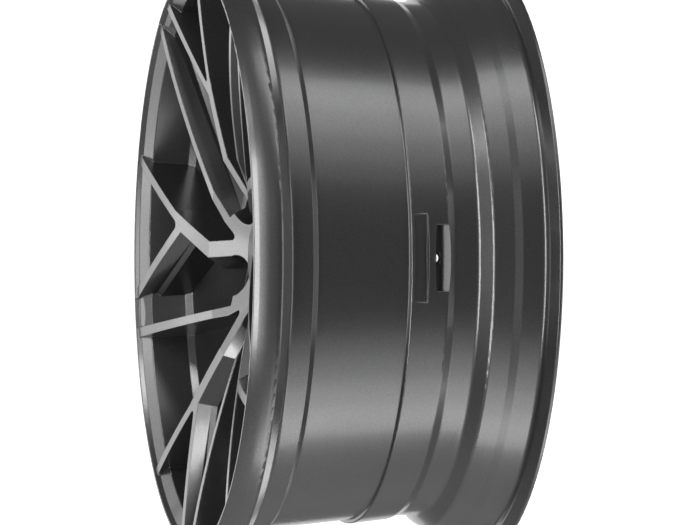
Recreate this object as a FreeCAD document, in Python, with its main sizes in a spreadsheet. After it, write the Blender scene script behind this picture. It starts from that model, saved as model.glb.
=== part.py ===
import FreeCAD, Part
import Sketcher
import math
import os

# A one-piece cast road wheel with five pairs of spokes, and its plain centre cap.
# The axle runs along Y, the open face looks to -Y, Z is up, and the origin lies on the axle in
# the plane of the rear mounting face. "Station" is the axial distance behind the lip crest.

SIZES = {
    # rim: flanges and bead seats
    "flangeRadius": 273.9,
    "seatRadius": 256.4,
    "seatFall": 1.8,
    "seatWidth": 20.5,
    "beadWidth": 228.6,
    "lipDepth": 34.7,
    "rearLip": 10.0,
    # front lip: crest, outer bevel, top band and the rolled back of the flange
    "lipBevelWidth": 8.4,
    "lipBevelDepth": 11.0,
    "lipTopFall": 2.4,
    "lipCrestWidth": 2.4,
    "lipTopWidth": 11.6,
    "flangeRoll": 7.0,
    "bandOuterRadius": 260.5,
    "bandOuterStation": 4.6,
    "ringRadius": 250.0,
    "ringStation": 12.2,
    "ringDraft": 4.5,
    "ringDepth": 34.0,
    # barrel between the bead seats
    "shoulderFall": 6.6,
    "shoulderWidth": 5.6,
    "ridgeStation": 144.0,
    "ridgeFootRadius": 240.3,
    "ridgeHeight": 3.6,
    "ridgeWidth": 35.0,
    "wellRadius": 236.7,
    "wellStation": 187.0,
    "wellWidth": 20.2,
    "wellRise": 11.0,
    "humpDrop": 2.8,
    "wallThickness": 6.5,
    # concave face
    "faceRadius": 262.0,
    "faceStation": 2.6,
    "creaseRadius": 94.0,
    "creaseStation": 37.4,
    "faceSweep": 1050.0,
    "hubFaceRadius": 40.0,
    "hubFaceStation": 65.0,
    "rootRadius": 251.0,
    "rootStation": 50.0,
    "spokeBackRadius": 112.0,
    "spokeBackStation": 76.0,
    # hub
    "mountStation": 109.0,
    "mountRadius": 78.0,
    "hubBore": 36.3,
    "hubBoreDepth": 19.0,
    "hubBoreLead": 4.0,
    "capBore": 30.0,
    "lugCircle": 60.0,
    "lugAngle": 195.5,
    "lugHole": 7.5,
    "lugSeat": 13.0,
    "lugSeatDepth": 8.0,
    "lugRecess": 19.0,
    "lugPadStation": 82.0,
    # spokes: centre lines as radius and angle, and widths
    "spokePairs": 5,
    "forkRadius": 150.4,
    "forkAngle": 167.7,
    "upperTipAngle": 158.7,
    "lowerTipAngle": 187.4,
    "armKneeRadius": 93.4,
    "armKneeAngle": 174.9,
    "armFootRadius": 57.0,
    "armFootAngle": 170.0,
    "armWidth": 15.0,
    "branchWidth": 9.5,
    "bladeKneeRadius": 94.5,
    "bladeKneeAngle": 213.1,
    "bladeTipAngle": 195.9,
    "bladeWidth": 9.5,
    "bladeFoot": 26.0,
    "notchRadius": 56.0,
    "notchAngle": 162.0,
    "forkRound": 5.0,
    "notchRound": 4.0,
    # stepped flank of the large window
    "flankDepth": 11.5,
    "armFlank": 7.5,
    "bladeFlank": 2.5,
    "tipFlank": 1.0,
    "hubFlank": 6.0,
    "ringFlank": 12.5,
    "ledgeWidth": 3.0,
    "ledgeDepth": 4.5,
    "lugLand": 20.0,
    # valve
    "valveHole": 5.75,
    "valveTilt": 50.0,
    "valveStation": 170.2,
    "valveRadius": 237.5,
    "valveFlatLength": 76.0,
    "valveFlatStation": 147.5,
    "valveFlatWidth": 13.0,
    "valveFlatRadius": 240.5,
    "valveFlatTilt": 10.0,
    "valveFlatRunOut": 37.0,
    "valveSlotLength": 58.0,
    "valveSlotWidth": 12.0,
    "valveBoss": 10.0,
    "valveBossDepth": 12.0,
    "valveBossReach": 18.0,
    # roundings
    "edgeRound": 1.2,
    "shoulderRound": 50.0,
    "rollRound": 5.0,
    "seatRound": 4.5,
    "barrelRound": 1.2,
    "wellRound": 5.0,
    # centre cap
    "capOverlap": 5.0,
    "capThickness": 3.5,
    "capRound": 1.5,
    "capSpigotLength": 16.0,
    "capSpigotWall": 2.4,
    "capClearance": 0.4,
}

doc = FreeCAD.newDocument("alloy_wheel")
sheet = doc.addObject("Spreadsheet::Sheet", "sizes")
for row, (name, value) in enumerate(SIZES.items(), start=1):
    sheet.set("A%d" % row, name)
    sheet.set("B%d" % row, str(value))
    sheet.setAlias("B%d" % row, name)
doc.recompute()


def size(name):
    return float(sheet.get(name))


def total(terms):
    """The value of a sum such as "lipDepth + seatWidth - rearLip" of named sizes."""
    value = 0.0
    sign = 1.0
    for word in terms.split():
        if word in "+-":
            sign = 1.0 if word == "+" else -1.0
        else:
            value += sign * size(word)
    return value


def formula(terms):
    """The same sum as an expression on the sheet."""
    return " ".join(word if word in "+-" else "sizes." + word for word in terms.split())


FRONT = size("mountStation")
FRONT_FORMULA = formula("mountStation")
CLEAR = 20.0
ON_AXIS = ""


def world_y(station):
    return station - FRONT


def origin_plane(body, role):
    return next(f for f in body.Origin.OriginFeatures if f.Role == role)


def new_sketch(body, name, role):
    sketch = body.newObject("Sketcher::SketchObject", name)
    sketch.AttachmentSupport = [(origin_plane(body, role), "")]
    sketch.MapMode = "FlatFace"
    return sketch


def corner_round(before, corner, after, radius):
    """Start, crown and end of the arc that rounds a corner."""
    back = (before - corner).normalize()
    ahead = (after - corner).normalize()
    half = back.getAngle(ahead) / 2
    reach = radius / math.tan(half)
    crown = (back + ahead).normalize() * radius * (1 / math.sin(half) - 1)
    return corner + back * reach, corner + crown, corner + ahead * reach


def bowed(start, end, radius):
    """Middle of an arc that bulges to the right of its run."""
    chord = end - start
    sag = radius - math.sqrt(radius ** 2 - (chord.Length / 2) ** 2)
    return (start + end) * 0.5 + FreeCAD.Vector(chord.y, -chord.x, 0).normalize() * sag


def add_arc(sketch, start, middle, end):
    """Index of a new arc, and the numbers of its first and last ends along the run."""
    index = sketch.addGeometry(Part.Arc(start, middle, end), False)
    backward = sketch.Geometry[index].StartPoint.distanceToPoint(start) > 1e-6
    return index, (2, 1) if backward else (1, 2)


class Rules:
    """Sketch constraints, gathered first and then added to their sketch together."""

    def __init__(self):
        self.constraints = []
        self.bound = {}

    def add(self, *parts):
        self.constraints.append(Sketcher.Constraint(*parts))

    def bind(self, kind, place, terms):
        """A dimension that follows a sum of named sizes."""
        self.bound[len(self.constraints)] = formula(terms)
        self.add(kind, *place, total(terms))

    def bind_point(self, place, corner):
        for kind, axis, terms in (("DistanceX", -2, corner[0]), ("DistanceY", -1, corner[1])):
            if terms == ON_AXIS:
                self.add("PointOnObject", *place, axis)
            else:
                self.bind(kind, place, terms)

    def apply(self, sketch):
        sketch.addConstraint(self.constraints)
        for index, expression in self.bound.items():
            sketch.setExpression("Constraints[%d]" % index, expression)


def draw_profile(sketch, corners, bends, rounds):
    """A closed profile through corners given as sums of named sizes.

    bends holds the radius name of a bowed side by its first corner, rounds that of a rounded corner.
    """
    count = len(corners)
    points = [FreeCAD.Vector(total(x), total(y), 0) for x, y in corners]
    turns = []
    for i, corner in enumerate(corners):
        if corner in rounds:
            radius = size(rounds[corner])
            turns.append(corner_round(points[i - 1], points[i], points[(i + 1) % count], radius))
        else:
            turns.append((points[i], points[i], points[i]))
    rules = Rules()
    sides = []
    for i, corner in enumerate(corners):
        start, end = turns[i][2], turns[(i + 1) % count][0]
        if corner in bends:
            sides.append(add_arc(sketch, start, bowed(start, end, size(bends[corner])), end))
            rules.bind("Radius", (sides[i][0],), bends[corner])
        else:
            sides.append((sketch.addGeometry(Part.LineSegment(start, end), False), (1, 2)))
    for i, corner in enumerate(corners):
        last, last_ends = sides[i - 1]
        side, side_ends = sides[i]
        if corner in rounds:
            add_arc(sketch, *turns[i])
        else:
            rules.add("Coincident", last, last_ends[1], side, side_ends[0])
            rules.bind_point((side, side_ends[0]), corner)
    if not rounds:
        rules.apply(sketch)


def revolve_profile(body, name, corners, bends=None, rounds=None):
    """Turn a radius-and-station profile about the axle."""
    sketch = new_sketch(body, name + "Profile", "XY_Plane")
    sketch.AttachmentOffset = FreeCAD.Placement(FreeCAD.Vector(0, -FRONT, 0), FreeCAD.Rotation())
    sketch.setExpression("AttachmentOffset.Base.y", "-(%s)" % FRONT_FORMULA)
    draw_profile(sketch, corners, bends or {}, rounds or {})
    turn = body.newObject("PartDesign::Revolution", name)
    turn.Profile = sketch
    turn.ReferenceAxis = (sketch, ["V_Axis"])
    turn.Angle = 360
    doc.recompute()
    return turn


# Plan geometry of the face, in X (right) and Z (up) as seen from the front.

def polar(radius, angle):
    turn = math.radians(angle)
    return FreeCAD.Vector(radius * math.cos(turn), radius * math.sin(turn), 0)


def shifted(start, end, distance):
    """The line start-end moved sideways; a positive distance moves it anticlockwise of its run."""
    run = (end - start).normalize()
    side = FreeCAD.Vector(-run.y, run.x, 0) * distance
    return start + side, end + side


def meet(first, second):
    """Crossing point of two lines."""
    p, q = first[0], second[0]
    u, v = first[1] - first[0], second[1] - second[0]
    along = ((q - p).x * v.y - (q - p).y * v.x) / (u.x * v.y - u.y * v.x)
    return p + u * along


def beyond(line, extra):
    return line[1] + (line[1] - line[0]).normalize() * extra


def at_radius(line, radius):
    """Where a line running outward crosses a radius."""
    start, run = line[0], (line[1] - line[0]).normalize()
    half = start.dot(run)
    return start + run * (-half + math.sqrt(half ** 2 - start.dot(start) + radius ** 2))


def turned(point, angle):
    return FreeCAD.Rotation(FreeCAD.Vector(0, 0, 1), angle).multVec(point)


PITCH = 360.0 / size("spokePairs")
TIP = size("faceRadius")
fork = polar(size("forkRadius"), size("forkAngle"))
arm_knee = polar(size("armKneeRadius"), size("armKneeAngle"))
arm_foot = polar(size("armFootRadius"), size("armFootAngle"))
upper_tip = polar(TIP, size("upperTipAngle"))
lower_tip = polar(TIP, size("lowerTipAngle"))
blade_knee = polar(size("bladeKneeRadius"), size("bladeKneeAngle"))
blade_tip = polar(TIP, size("bladeTipAngle"))
notch = polar(size("notchRadius"), size("notchAngle"))
half_arm = size("armWidth") / 2
half_branch = size("branchWidth") / 2
half_blade = size("bladeWidth") / 2

# Every spoke runs outward, so its anticlockwise side is the positive one.
foot_high = shifted(arm_foot, arm_knee, -half_arm)
foot_low = shifted(arm_foot, arm_knee, half_arm)
arm_high = shifted(arm_knee, fork, -half_arm)
arm_low = shifted(arm_knee, fork, half_arm)
upper_high = shifted(fork, upper_tip, -half_branch)
upper_low = shifted(fork, upper_tip, half_branch)
lower_high = shifted(fork, lower_tip, -half_branch)
lower_low = shifted(fork, lower_tip, half_branch)
blade_high = shifted(blade_knee, blade_tip, -half_blade)
blade_low = shifted(blade_knee, blade_tip, half_blade)
blade_run = (blade_tip - blade_knee).normalize()
blade_bend = blade_low[0] - blade_run * size("bladeFoot")


def face_station(radius):
    """Station of the concave face at a radius."""
    crease = FreeCAD.Vector(size("creaseRadius"), size("creaseStation"), 0)
    rim_end = FreeCAD.Vector(size("faceRadius"), size("faceStation"), 0)
    if radius < crease.x:
        slope = (size("hubFaceStation") - crease.y) / (crease.x - size("hubFaceRadius"))
        return min(crease.y + slope * (crease.x - radius), size("hubFaceStation"))
    sweep = size("faceSweep")
    chord = rim_end - crease
    deep = FreeCAD.Vector(-chord.y, chord.x, 0).normalize()
    centre = (crease + rim_end) * 0.5 + deep * math.sqrt(sweep ** 2 - (chord.Length / 2) ** 2)
    return centre.y - math.sqrt(sweep ** 2 - (radius - centre.x) ** 2)


# The face: a concave disc with its hub, opened by two plain windows to each pair of spokes.
face = doc.addObject("PartDesign::Body", "Face")
crease = ("creaseRadius", "creaseStation")
disc_corners = [
    ("capBore", "hubFaceStation"),
    ("hubFaceRadius", "hubFaceStation"),
    crease,
    ("faceRadius", "faceStation"),
    ("faceRadius", "faceStation + lipTopWidth"),
    ("rootRadius", "lipDepth"),
    ("rootRadius", "rootStation"),
    ("spokeBackRadius", "spokeBackStation"),
    ("mountRadius", "mountStation"),
    ("hubBore", "mountStation"),
    ("hubBore", "mountStation - hubBoreDepth"),
    ("capBore", "mountStation - hubBoreDepth - hubBoreLead"),
]
revolve_profile(face, "Disc", disc_corners, bends={crease: "faceSweep"})


def draw_polygon(sketch, points, rounding):
    """A closed outline whose first corner is rounded."""
    entry, crown, leave = corner_round(points[-1], points[0], points[1], size(rounding))
    path = [leave] + points[1:] + [entry]
    for start, end in zip(path, path[1:]):
        sketch.addGeometry(Part.LineSegment(start, end), False)
    sketch.addGeometry(Part.Arc(entry, crown, leave), False)


def front_sketch(body, name):
    """A sketch in front of the face, looking along the axle."""
    sketch = new_sketch(body, name, "XZ_Plane")
    sketch.AttachmentOffset = FreeCAD.Placement(FreeCAD.Vector(0, 0, FRONT + CLEAR), FreeCAD.Rotation())
    sketch.setExpression("AttachmentOffset.Base.z", "%s + %s" % (FRONT_FORMULA, CLEAR))
    return sketch


def cut_window(name, rounding, points):
    sketch = front_sketch(face, name + "Outline")
    draw_polygon(sketch, points, rounding)
    pocket = face.newObject("PartDesign::Pocket", name)
    pocket.Profile = sketch
    pocket.Type = "ThroughAll"
    doc.recompute()
    return pocket


fork_window = cut_window("ForkWindow", "forkRound", [
    meet(upper_low, lower_high),
    beyond(upper_low, CLEAR),
    beyond(lower_high, CLEAR),
])
side_window = cut_window("SideWindow", "notchRound", [
    notch,
    meet(foot_high, arm_high),
    meet(arm_high, upper_high),
    beyond(upper_high, CLEAR),
    turned(beyond(blade_low, CLEAR), -PITCH),
    turned(blade_bend, -PITCH),
])

lug_place = polar(size("lugCircle"), size("lugAngle"))


def cut_round(name, radius_name, depth_terms):
    """A round pocket at the lug position, down to a station, or right through."""
    sketch = front_sketch(face, name + "Outline")
    circle = Part.Circle(lug_place, FreeCAD.Vector(0, 0, 1), size(radius_name))
    sketch.addGeometry(circle, False)
    index = sketch.addConstraint(Sketcher.Constraint("Radius", 0, size(radius_name)))
    sketch.setExpression("Constraints[%d]" % index, formula(radius_name))
    pocket = face.newObject("PartDesign::Pocket", name)
    pocket.Profile = sketch
    if depth_terms:
        pocket.Type = "Length"
        pocket.Length = total(depth_terms) + CLEAR
        pocket.setExpression("Length", "%s + %s" % (formula(depth_terms), CLEAR))
    else:
        pocket.Type = "ThroughAll"
    doc.recompute()
    return pocket


lug_recess = cut_round("LugRecess", "lugRecess", "lugPadStation")
lug_hole = cut_round("LugHole", "lugHole", None)
lug_seat = face.newObject("PartDesign::SubtractiveCone", "LugSeat")
lug_seat.Radius1 = size("lugHole")
lug_seat.Radius2 = size("lugSeat")
lug_seat.Height = size("lugSeatDepth")
lug_seat.setExpression("Radius1", formula("lugHole"))
lug_seat.setExpression("Radius2", formula("lugSeat"))
lug_seat.setExpression("Height", formula("lugSeatDepth"))
seat_foot = FreeCAD.Vector(lug_place.x, world_y(total("lugPadStation + lugSeatDepth")), lug_place.y)
to_front = FreeCAD.Rotation(FreeCAD.Vector(0, 0, 1), FreeCAD.Vector(0, -1, 0))
lug_seat.Placement = FreeCAD.Placement(seat_foot, to_front)
doc.recompute()

pattern = face.newObject("PartDesign::PolarPattern", "SpokePattern")
pattern.Originals = [fork_window, side_window, lug_recess, lug_hole, lug_seat]
pattern.Axis = (origin_plane(face, "Y_Axis"), [""])
pattern.Angle = 360
pattern.Occurrences = int(size("spokePairs"))
pattern.setExpression("Occurrences", formula("spokePairs"))
face.Tip = pattern
doc.recompute()

# The large window between a forked arm and the blade beside it. Its sides step down: a flank
# below the spoke edge, a narrow ledge, then a straight wall.
window_edges = [
    at_radius(lower_low, TIP),
    meet(arm_low, lower_low),
    meet(foot_low, arm_low),
    foot_low[0],
    blade_high[0] - blade_run * size("bladeFoot"),
    at_radius(blade_high, TIP),
]


def shrunk(points, offsets):
    """A clockwise ring of points with both ends of each side moved inward by their own offsets."""
    count = len(points)
    sides = []
    for i, (first, last) in enumerate(offsets):
        start, end = points[i], points[(i + 1) % count]
        run = (end - start).normalize()
        inward = FreeCAD.Vector(run.y, -run.x, 0)
        sides.append((start + inward * first, end + inward * last))
    return [meet(sides[i - 1], sides[i]) for i in range(count)]


def level(points, stations):
    return [FreeCAD.Vector(p.x, world_y(s), p.y) for p, s in zip(points, stations)]


def stacked_solid(levels):
    """A solid through rings of points, with ruled sides and fanned ends."""
    count = len(levels[0])
    faces = []
    for upper, lower in zip(levels, levels[1:]):
        for i in range(count):
            j = (i + 1) % count
            top = Part.LineSegment(upper[i], upper[j]).toShape()
            foot = Part.LineSegment(lower[i], lower[j]).toShape()
            faces.append(Part.makeRuledSurface(top, foot))
    for ring in (levels[0], levels[-1]):
        middle = sum(ring, FreeCAD.Vector()) * (1.0 / count)
        for i in range(count):
            j = (i + 1) % count
            faces.append(Part.Face(Part.makePolygon([middle, ring[i], ring[j], middle])))
    shell = Part.makeShell(faces)
    shell.sewShape()
    solid = Part.makeSolid(shell)
    solid.fix(1e-4, 1e-4, 1e-4)
    if solid.Volume < 0:
        solid.reverse()
    return solid


def around_axle(solid):
    axle = FreeCAD.Vector(0, 1, 0)
    copies = []
    for i in range(int(size("spokePairs"))):
        copy = solid.copy()
        copy.rotate(FreeCAD.Vector(), axle, i * PITCH)
        copies.append(copy)
    return Part.makeCompound(copies)


edge_stations = [face_station(p.Length) for p in window_edges]
arm_flank = size("armFlank")
blade_flank = size("bladeFlank")
tip_flank = size("tipFlank")
hub_flank = size("hubFlank")
ring_flank = size("ringFlank")
spoke_flanks = [
    (tip_flank, arm_flank),
    (arm_flank, arm_flank),
    (arm_flank, blade_flank),
    (hub_flank, hub_flank),
    (blade_flank, tip_flank),
]
flank_foot = shrunk(window_edges, spoke_flanks + [(ring_flank, ring_flank)])
flank_stations = [s + size("flankDepth") for s in edge_stations]
lift = 1.5
above = [p + (p - q) * lift for p, q in zip(window_edges, flank_foot)]
above_stations = [s - size("flankDepth") * lift for s in edge_stations]
opening_top = shrunk(window_edges, spoke_flanks + [(-CLEAR, -CLEAR)])
ledge = (size("ledgeWidth"), size("ledgeWidth"))
lug_land = (size("lugLand"), size("lugLand"))
opening = shrunk(opening_top, [ledge, ledge, ledge, lug_land, ledge, (0.0, 0.0)])
opening_stations = [s + size("ledgeDepth") for s in flank_stations]
through_station = size("mountStation") + CLEAR

flank_tool = doc.addObject("Part::Feature", "FlankTool")
flank_tool.Shape = around_axle(stacked_solid([
    level(above, above_stations),
    level(flank_foot, flank_stations),
]))
window_tool = doc.addObject("Part::Feature", "WindowTool")
window_tool.Shape = around_axle(stacked_solid([
    level(opening_top, above_stations),
    level(opening_top, flank_stations),
    level(opening, opening_stations),
    level(opening, [through_station] * len(opening)),
]))
doc.recompute()


def combined(kind, name, base, tool):
    """A cut or a fusion of two objects."""
    result = doc.addObject(kind, name)
    result.Base = base
    result.Tool = tool
    doc.recompute()
    return result


open_face = combined("Part::Cut", "OpenFace", face, window_tool)

# The rim: front lip, bead seats, barrel with its ridge and drop, and the rear flange.
rim = doc.addObject("PartDesign::Body", "Rim")
rear_face = "lipDepth + beadWidth"
rear_edge = rear_face + " + rearLip"
ridge_end = "ridgeStation + ridgeWidth"
well_end = "wellStation + wellWidth"
hump = rear_face + " - seatWidth"
crest_outer = ("flangeRadius - lipBevelWidth", ON_AXIS)
crest_inner = ("flangeRadius - lipBevelWidth - lipCrestWidth", ON_AXIS)
band_outer = ("bandOuterRadius", "bandOuterStation")
ring_front = ("ringRadius", "ringStation")
ring_back = ("ringRadius - ringDraft", "ringStation + ringDepth")
ring_step = ("seatRadius - seatFall - shoulderFall - wallThickness", "ringStation + ringDepth + wallThickness")
rear_outer = ("flangeRadius", rear_edge)
rear_inner = ("seatRadius + flangeRoll", rear_edge)
rear_top = ("flangeRadius", rear_face + " + flangeRoll")
rear_roll = ("seatRadius + flangeRoll", rear_face + " + barrelRound")
rear_seat = ("seatRadius", rear_face)
rear_seat_end = ("seatRadius - seatFall", hump)
rear_slope_top = ("seatRadius - seatFall - humpDrop", hump + " - flangeRoll")
well_slope_top = ("wellRadius + wellRise", well_end + " + wellRise")
well_rear = ("wellRadius", well_end)
well_front = ("wellRadius", "wellStation")
ridge_rear = ("ridgeFootRadius", ridge_end)
ridge_front = ("ridgeFootRadius + ridgeHeight", "ridgeStation + barrelRound")
ridge_foot = ("ridgeFootRadius", "ridgeStation")
shoulder_foot = ("seatRadius - seatFall - shoulderFall", "lipDepth + seatWidth + shoulderWidth")
front_seat_end = ("seatRadius - seatFall", "lipDepth + seatWidth")
front_seat = ("seatRadius", "lipDepth")
front_roll = ("seatRadius + flangeRoll", "lipDepth - barrelRound")
front_top = ("flangeRadius", "lipBevelDepth + lipTopWidth")
front_shoulder = ("flangeRadius - lipTopFall", "lipBevelDepth")
rim_rounds = {}
for radius_name, rounded in (
    ("edgeRound", [crest_inner, crest_outer, ring_front, rear_inner, rear_outer, rear_top]),
    ("shoulderRound", [front_shoulder]),
    ("rollRound", [front_top, front_roll, rear_roll]),
    ("seatRound", [front_seat, rear_seat]),
    ("barrelRound", [front_seat_end, shoulder_foot, ridge_foot, ridge_front, rear_seat_end]),
    ("wellRound", [ridge_rear, well_front, well_rear, well_slope_top, rear_slope_top]),
):
    for corner in rounded:
        rim_rounds[corner] = radius_name
revolve_profile(rim, "Barrel", [
    crest_inner,
    band_outer,
    ring_front,
    ring_back,
    ring_step,
    ("ridgeFootRadius - wallThickness", "ridgeStation"),
    ("wellRadius - wallThickness", "wellStation"),
    ("wellRadius - wallThickness", well_end),
    ("wellRadius + wellRise - wallThickness", well_end + " + wellRise"),
    ("seatRadius - seatFall - wallThickness", hump),
    ("seatRadius - wallThickness", rear_face),
    rear_inner,
    rear_outer,
    rear_top,
    rear_roll,
    rear_seat,
    rear_seat_end,
    rear_slope_top,
    well_slope_top,
    well_rear,
    well_front,
    ridge_rear,
    ridge_front,
    ridge_foot,
    shoulder_foot,
    front_seat_end,
    front_seat,
    front_roll,
    front_top,
    front_shoulder,
    crest_outer,
], rounds=rim_rounds)

whole = combined("Part::Fuse", "Casting", open_face, rim)
flanked = combined("Part::Cut", "FlankedCasting", whole, flank_tool)

# The valve sits at +X: a boss inside the barrel, a milled flat, a tilted slot and the bare hole.
valve_y = world_y(size("valveStation"))
tilt = math.radians(size("valveTilt"))
outward = FreeCAD.Vector(math.cos(tilt), math.sin(tilt), 0)
down_slope = FreeCAD.Vector(-math.sin(tilt), math.cos(tilt), 0)
upright = FreeCAD.Vector(0, 0, 1)
seat_point = FreeCAD.Vector(size("valveRadius"), valve_y, 0)
slot_turn = FreeCAD.Rotation(down_slope, upright, outward, "XYZ")


def cylinder(name, radius_name, length):
    rod = doc.addObject("Part::Cylinder", name)
    rod.Radius = size(radius_name)
    rod.setExpression("Radius", formula(radius_name))
    rod.Height = length
    return rod


boss = cylinder("ValveBoss", "valveBoss", size("valveBossDepth"))
boss.setExpression("Height", formula("valveBossDepth"))
boss.Placement = FreeCAD.Placement(seat_point - outward * size("valveBossReach"), slot_turn)

# The flat falls towards the slot, and its ends slope out to the barrel.
flat = doc.addObject("Part::Wedge", "ValveFlat")
for name, terms in (
    ("Xmin", "0"),
    ("X2min", "0"),
    ("Xmax", "sizes.valveFlatWidth"),
    ("X2max", "sizes.valveFlatWidth"),
    ("Ymin", "0"),
    ("Ymax", str(CLEAR)),
    ("Zmin", "-sizes.valveFlatLength / 2"),
    ("Zmax", "sizes.valveFlatLength / 2"),
    ("Z2min", "-sizes.valveFlatLength / 2 - sizes.valveFlatRunOut"),
    ("Z2max", "sizes.valveFlatLength / 2 + sizes.valveFlatRunOut"),
):
    flat.setExpression(name, terms)
fall = math.radians(size("valveFlatTilt"))
flat_run = FreeCAD.Vector(-math.sin(fall), math.cos(fall), 0)
flat_out = FreeCAD.Vector(math.cos(fall), math.sin(fall), 0)
flat_edge = FreeCAD.Vector(size("valveFlatRadius"), world_y(size("valveFlatStation")), 0)
flat.Placement = FreeCAD.Placement(flat_edge, FreeCAD.Rotation(flat_run, flat_out, -upright, "XYZ"))

slot = doc.addObject("Part::Box", "ValveSlot")
slot.setExpression("Length", formula("valveSlotWidth"))
slot.setExpression("Width", formula("valveSlotLength"))
slot.Height = CLEAR
slot_corner = seat_point - down_slope * (size("valveSlotWidth") / 2) - upright * (size("valveSlotLength") / 2)
slot.Placement = FreeCAD.Placement(slot_corner, slot_turn)

bore = cylinder("ValveBore", "valveHole", 3 * CLEAR)
bore.Placement = FreeCAD.Placement(seat_point - outward * 2 * CLEAR, slot_turn)

bossed = combined("Part::Fuse", "BossedCasting", flanked, boss)
milled = combined("Part::Cut", "MilledCasting", bossed, flat)
slotted = combined("Part::Cut", "SlottedCasting", milled, slot)
wheel = combined("Part::Cut", "Wheel", slotted, bore)
wheel.Refine = True
wheel.Label = "wheel"

# The centre cap: a plain disc on the hub face with a spigot in the cap bore.
cap = doc.addObject("PartDesign::Body", "Cap")
cap_front = "hubFaceStation - capThickness"
cap_rim = "capBore + capOverlap"
spigot_outer = "capBore - capClearance"
spigot_inner = spigot_outer + " - capSpigotWall"
spigot_end = "hubFaceStation + capSpigotLength"
cap_edge = (cap_rim, cap_front)
revolve_profile(cap, "CapDisc", [
    (ON_AXIS, cap_front),
    cap_edge,
    (cap_rim, "hubFaceStation"),
    (spigot_outer, "hubFaceStation"),
    (spigot_outer, spigot_end),
    (spigot_inner, spigot_end),
    (spigot_inner, "hubFaceStation"),
    (ON_AXIS, "hubFaceStation"),
], rounds={cap_edge: "capRound"})
cap.Label = "centre_cap"
doc.recompute()

for item in doc.Objects:
    if "Invalid" in item.State or "Error" in item.State:
        raise RuntimeError("%s did not build: %s" % (item.Name, item.State))

os.makedirs("parts", exist_ok=True)
for item in (wheel, cap):
    if item.Shape.isNull() or not item.Shape.isValid():
        raise RuntimeError("%s has no valid shape" % item.Label)
    item.Shape.exportStep("parts/%s.step" % item.Label)
    box = item.Shape.BoundBox
    print(item.Label, len(item.Shape.Solids), round(item.Shape.Volume / 1000), "cm3", box)
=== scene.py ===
import math

import bpy
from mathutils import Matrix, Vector

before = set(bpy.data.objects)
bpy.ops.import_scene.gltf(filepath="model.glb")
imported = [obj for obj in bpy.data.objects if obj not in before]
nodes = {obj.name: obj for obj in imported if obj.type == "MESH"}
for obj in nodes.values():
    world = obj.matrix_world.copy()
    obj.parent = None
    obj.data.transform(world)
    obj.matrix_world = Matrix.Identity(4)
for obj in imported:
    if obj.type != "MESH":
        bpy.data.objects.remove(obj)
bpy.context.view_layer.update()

# Lengths are in metres. The axle lies along Y, the wheel's open face looks to -Y, and Z is up.

# Photograph's view: about 14 degrees from the wheel's side towards its face, level with the axle.
VIEW_ANGLE = math.radians(13.95)
DISTANCE = 4.0
TARGET = Vector((0.0, 0.0414, -0.0039))
LENS_MM = 223.4
SENSOR_WIDTH_MM = 36.0

# Floor well below the wheel, which is held at its hub, and a backdrop beyond the wheel.
FLOOR_Z = -2.2
FLOOR_HALF = 6.0
BACKDROP_X = -5.2
BACKDROP_FRONT_Y = -4.6
BACKDROP_REAR_Y = 3.0
BACKDROP_TOP_Z = 2.2
WORLD_GREY = 0.15

# Shares of red, green and blue in a grey. The wheel and its cap are slightly cool.
NEUTRAL = (1.0, 1.0, 1.0)
COOL = (1.0, 1.002, 1.012)

# Values between which a noise texture mostly lies.
NOISE_LOW = 0.3
NOISE_HIGH = 0.7

# Strips of lamp above and below, from the wheel's near edge towards the camera. Each has its start
# and end along X and its radiance, which falls with the distance from the wheel.
STRIPS = ((0.30, 0.62, 2.3), (0.62, 0.95, 1.5), (0.95, 1.40, 0.75), (1.40, 1.90, 0.35))
STRIP_LENGTH = 1.85
STRIP_Y = 0.575
STRIP_Z = 1.15
CM_PER_METRE = 100

# Two lamps beyond the wheel, behind its rear flange, this far above and below the axle.
BACK_BOX_Z = 1.0


def fill(node, values):
    for socket, value in values.items():
        node.inputs[socket].default_value = value


def grey(value, tint=NEUTRAL):
    return tuple(value * share for share in tint) + (1.0,)


class Nodes:
    """A material's node tree, with short calls to add and join nodes."""

    def __init__(self, name):
        self.material = bpy.data.materials.new(name)
        self.material.use_nodes = True
        self.tree = self.material.node_tree
        self.shader = self.tree.nodes["Principled BSDF"]

    def add(self, kind, **values):
        node = self.tree.nodes.new(kind)
        fill(node, values)
        return node

    def join(self, source, target):
        self.tree.links.new(source, target)

    def feed(self, sources):
        """Joins each source to the shader's input of that name."""
        for socket, source in sources.items():
            self.join(source, self.shader.inputs[socket])

    def place(self):
        return self.add("ShaderNodeTexCoord").outputs["Object"]

    def noise(self, place, scale, detail):
        node = self.add("ShaderNodeTexNoise", Scale=scale, Detail=detail)
        self.join(place, node.inputs["Vector"])
        return node.outputs["Fac"]

    def ramp(self, source, low, high):
        """Cool greys between two stops. A stop is a place on the ramp and its grey."""
        node = self.add("ShaderNodeValToRGB")
        for element, (position, value) in zip(node.color_ramp.elements, (low, high)):
            element.position = position
            element.color = grey(value, COOL)
        self.join(source, node.inputs["Fac"])
        return node.outputs["Color"]

    def span(self, source, low, high):
        """A noise brought into the range from low to high."""
        node = self.add("ShaderNodeMapRange")
        fill(node, {"From Min": NOISE_LOW, "From Max": NOISE_HIGH, "To Min": low, "To Max": high})
        self.join(source, node.inputs["Value"])
        return node.outputs["Result"]

    def soft_edges(self, radius, samples):
        node = self.add("ShaderNodeBevel", Radius=radius)
        node.samples = samples
        return node.outputs["Normal"]

    def bump(self, source, normal, distance, strength):
        node = self.add("ShaderNodeBump", Distance=distance, Strength=strength)
        self.join(source, node.inputs["Height"])
        self.join(normal, node.inputs["Normal"])
        return node.outputs["Normal"]

    def larger(self, first, second):
        node = self.add("ShaderNodeMath")
        node.operation = "MAXIMUM"
        self.join(first, node.inputs[0])
        self.join(second, node.inputs[1])
        return node.outputs["Value"]


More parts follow.
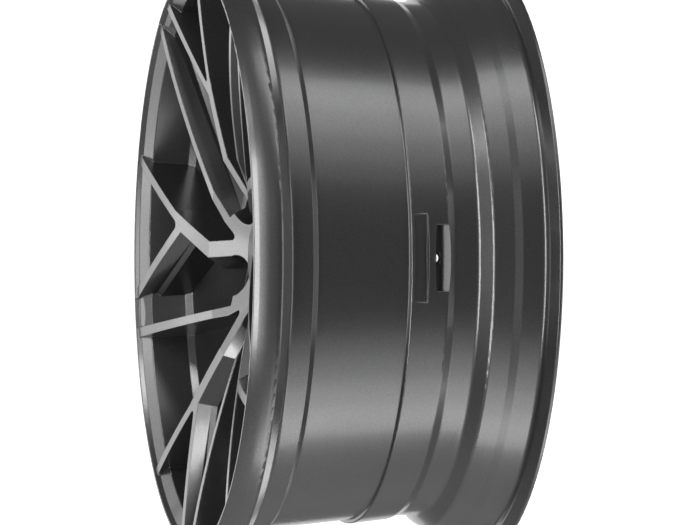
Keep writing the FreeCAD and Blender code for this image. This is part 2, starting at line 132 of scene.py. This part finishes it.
def paint():
    """Dark metallic paint: fine flake in the colour, a slow drift of gloss, softened edges."""
    kit = Nodes("gunmetal_paint")
    place = kit.place()
    flake = kit.noise(place, scale=1400.0, detail=1.0)
    drift = kit.noise(place, scale=9.0, detail=3.0)
    edges = kit.soft_edges(radius=0.0013, samples=6)
    kit.feed({
        "Base Color": kit.ramp(flake, low=(0.34, 0.11), high=(0.68, 0.155)),
        "Roughness": kit.span(drift, low=0.27, high=0.33),
        "Normal": kit.bump(flake, edges, distance=0.00006, strength=0.25),
    })
    fill(kit.shader, {"Metallic": 0.9, "Coat Weight": 0.35, "Coat Roughness": 0.12})
    return kit.material


def cap_plastic():
    """Plain dark moulded plastic with a faint grain."""
    kit = Nodes("cap_plastic")
    place = kit.place()
    grain = kit.noise(place, scale=900.0, detail=2.0)
    drift = kit.noise(place, scale=30.0, detail=3.0)
    edges = kit.soft_edges(radius=0.0006, samples=4)
    kit.feed({
        "Base Color": kit.ramp(drift, low=(0.3, 0.028), high=(0.7, 0.045)),
        "Roughness": kit.span(grain, low=0.26, high=0.36),
        "Normal": kit.bump(grain, edges, distance=0.00005, strength=0.2),
    })
    return kit.material


def floor_pale():
    kit = Nodes("floor_pale")
    fill(kit.shader, {"Base Color": grey(0.8), "Roughness": 0.9})
    return kit.material


def backdrop_white():
    """Glows only to camera, glossy and transmitted rays, and is clear from its back."""
    kit = Nodes("backdrop_white")
    fill(kit.shader, {"Base Color": grey(0.9), "Emission Color": grey(1.0)})
    rays = kit.add("ShaderNodeLightPath").outputs
    indirect = kit.larger(rays["Is Glossy Ray"], rays["Is Transmission Ray"])
    kit.feed({"Emission Strength": kit.larger(rays["Is Camera Ray"], indirect)})
    sides = kit.add("ShaderNodeNewGeometry")
    clear = kit.add("ShaderNodeBsdfTransparent")
    either = kit.add("ShaderNodeMixShader")
    kit.join(sides.outputs["Backfacing"], either.inputs["Fac"])
    kit.join(kit.shader.outputs["BSDF"], either.inputs[1])
    kit.join(clear.outputs["BSDF"], either.inputs[2])
    kit.join(either.outputs["Shader"], kit.tree.nodes["Material Output"].inputs["Surface"])
    return kit.material


def dress(node, material):
    slots = nodes[node].data.materials
    slots.clear()
    slots.append(material)


def sheet(name, corners, material):
    """A flat piece of the stage with four corners."""
    mesh = bpy.data.meshes.new(name)
    mesh.from_pydata(corners, [], [(0, 1, 2, 3)])
    piece = bpy.data.objects.new(name, mesh)
    bpy.context.scene.collection.objects.link(piece)
    mesh.materials.append(material)


def set_up(piece, centre, aim):
    """Puts a lamp or the camera at centre, turned to look at aim."""
    piece.location = centre
    piece.rotation_euler = (Vector(aim) - Vector(centre)).to_track_quat("-Z", "Y").to_euler()
    bpy.context.scene.collection.objects.link(piece)


def softbox(name, centre, aim, width, height, radiance):
    """A rectangular lamp that the camera does not see. Its power follows from its face's radiance."""
    data = bpy.data.lights.new(name, "AREA")
    data.shape = "RECTANGLE"
    data.size = width
    data.size_y = height
    data.energy = radiance * math.pi * width * height
    lamp = bpy.data.objects.new(name, data)
    lamp.visible_camera = False
    set_up(lamp, centre, aim)


def above_and_below(height):
    return (("above", height), ("below", -height))


def strip_lamps():
    for start, end, radiance in STRIPS:
        middle = (start + end) / 2
        for side, z in above_and_below(STRIP_Z):
            name = "box_%s_%d" % (side, middle * CM_PER_METRE)
            softbox(
                name, centre=(middle, STRIP_Y, z), aim=(middle, STRIP_Y, 0.0),
                width=end - start, height=STRIP_LENGTH, radiance=radiance,
            )


def face_lamps():
    """Lamps in front of the open face: for its edges, its ledges, the far side and the hub."""
    softbox(
        "box_edges", centre=(1.45, -1.5, 0.1), aim=(-0.1, -0.08, 0.1),
        width=0.45, height=2.4, radiance=9.0,
    )
    softbox(
        "box_ledge", centre=(0.64, -1.63, 1.46), aim=(-0.11, -0.05, 0.14),
        width=0.6, height=0.6, radiance=9.0,
    )
    softbox(
        "box_face", centre=(-1.2, -2.0, 0.0), aim=(-0.3, 0.0, 0.0),
        width=2.3, height=1.9, radiance=1.9,
    )
    softbox(
        "box_hub", centre=(-0.8, -1.9, 0.0), aim=(-0.1, 0.0, 0.0),
        width=0.5, height=0.9, radiance=2.6,
    )


def rear_lamps():
    """Lamps behind the rear flange: for the bead seats' corners and the back of the lip."""
    softbox(
        "box_rear", centre=(0.3, 2.1, 0.0), aim=(0.1, 0.0, 0.0),
        width=1.6, height=1.7, radiance=2.0,
    )
    for side, z in above_and_below(BACK_BOX_Z):
        softbox(
            "box_back_" + side, centre=(-1.45, 2.1, z), aim=(0.1, 0.0, 0.0),
            width=1.4, height=1.0, radiance=2.2,
        )


def studio_world():
    world = bpy.data.worlds.new("studio")
    world.use_nodes = True
    fill(world.node_tree.nodes["Background"], {"Color": grey(WORLD_GREY)})
    bpy.context.scene.world = world


def photograph_camera():
    data = bpy.data.cameras.new("camera")
    data.sensor_width = SENSOR_WIDTH_MM
    data.lens = LENS_MM
    camera = bpy.data.objects.new("camera", data)
    direction = Vector((math.cos(VIEW_ANGLE), -math.sin(VIEW_ANGLE), 0.0))
    set_up(camera, TARGET + DISTANCE * direction, TARGET)
    bpy.context.scene.camera = camera


dress("wheel", paint())
dress("centre_cap", cap_plastic())

floor_corners = [
    (-FLOOR_HALF, -FLOOR_HALF, FLOOR_Z),
    (FLOOR_HALF, -FLOOR_HALF, FLOOR_Z),
    (FLOOR_HALF, FLOOR_HALF, FLOOR_Z),
    (-FLOOR_HALF, FLOOR_HALF, FLOOR_Z),
]
sheet("floor", floor_corners, floor_pale())

# The order of the corners makes the backdrop face the camera.
backdrop_corners = [
    (BACKDROP_X, BACKDROP_FRONT_Y, FLOOR_Z),
    (BACKDROP_X, BACKDROP_REAR_Y, FLOOR_Z),
    (BACKDROP_X, BACKDROP_REAR_Y, BACKDROP_TOP_Z),
    (BACKDROP_X, BACKDROP_FRONT_Y, BACKDROP_TOP_Z),
]
sheet("backdrop", backdrop_corners, backdrop_white())

studio_world()
strip_lamps()
face_lamps()
rear_lamps()
photograph_camera()
bpy.context.scene.view_settings.view_transform = "Standard"
